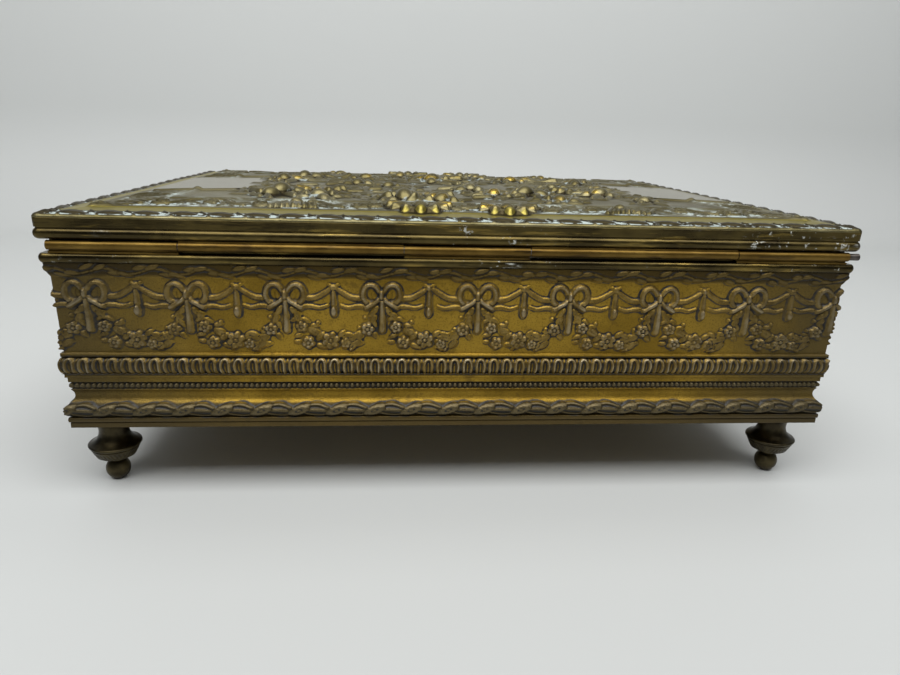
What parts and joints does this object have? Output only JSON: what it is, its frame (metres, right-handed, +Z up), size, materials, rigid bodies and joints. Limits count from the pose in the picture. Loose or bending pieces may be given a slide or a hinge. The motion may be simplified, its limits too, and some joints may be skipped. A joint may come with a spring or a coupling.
{
  "type": "hinged trinket box",
  "caption": "Oblong brass trinket box on turned ball feet, with relief mouldings and frieze, a padded interior and a lid with a raised relief top that opens on a long back hinge.",
  "frame": {"origin": "on the surface the feet stand on, under the centre of the box", "axes": "+X to the right seen from the front, +Y to the hinge side, +Z up"},
  "size_m": [0.229, 0.178, 0.088],
  "materials": {
    "case_brass": "aged gilt brass, dark in the recesses, satin on the ground",
    "lid_brass": "aged brass with grey film, pale green deposit and bright worn tops",
    "plate_brass": "rolled sheet, dull",
    "hinge_brass": "brown brass, worn",
    "foot_bronze": "dark brown patina, rubbed on the edges",
    "steel": "dark oiled steel",
    "carcass_wood": "plain cedar",
    "velvet": "deep red velvet"
  },
  "bodies": {
    "case": {"foot_front_left": "foot_bronze", "foot_front_right": "foot_bronze", "foot_back_left": "foot_bronze", "foot_back_right": "foot_bronze", "foot_studs": "steel", "foot_washers": "steel", "foot_nuts": "steel", "base_plate": "plate_brass", "base_strip_back": "case_brass", "base_strip_left": "case_brass", "base_strip_front": "case_brass", "base_strip_right": "case_brass", "wall_back": "case_brass", "wall_left": "case_brass", "wall_front": "case_brass", "wall_right": "case_brass", "mouth_strip_back": "case_brass", "mouth_strip_left": "case_brass", "mouth_strip_front": "case_brass", "mouth_strip_right": "case_brass", "board_floor": "carcass_wood", "board_back": "carcass_wood", "board_left": "carcass_wood", "board_front": "carcass_wood", "board_right": "carcass_wood", "lining_floor": "velvet", "lining_back": "velvet", "lining_left": "velvet", "lining_front": "velvet", "lining_right": "velvet", "hinge_knuckles_body": "hinge_brass", "hinge_pin": "steel"},
    "lid": {"lid_rim_back": "lid_brass", "lid_rim_left": "lid_brass", "lid_rim_front": "lid_brass", "lid_rim_right": "lid_brass", "lid_panel": "lid_brass", "lid_board": "carcass_wood", "lid_lining": "velvet", "hinge_knuckles_lid": "hinge_brass"}
  },
  "joints": [
    {"name": "lid_hinge", "type": "hinge", "parent": "case", "child": "lid", "pos_m": [0, 0.0877, 0.0744], "axis": [-1, 0, 0], "range_deg": [0, 135]}
  ]
}
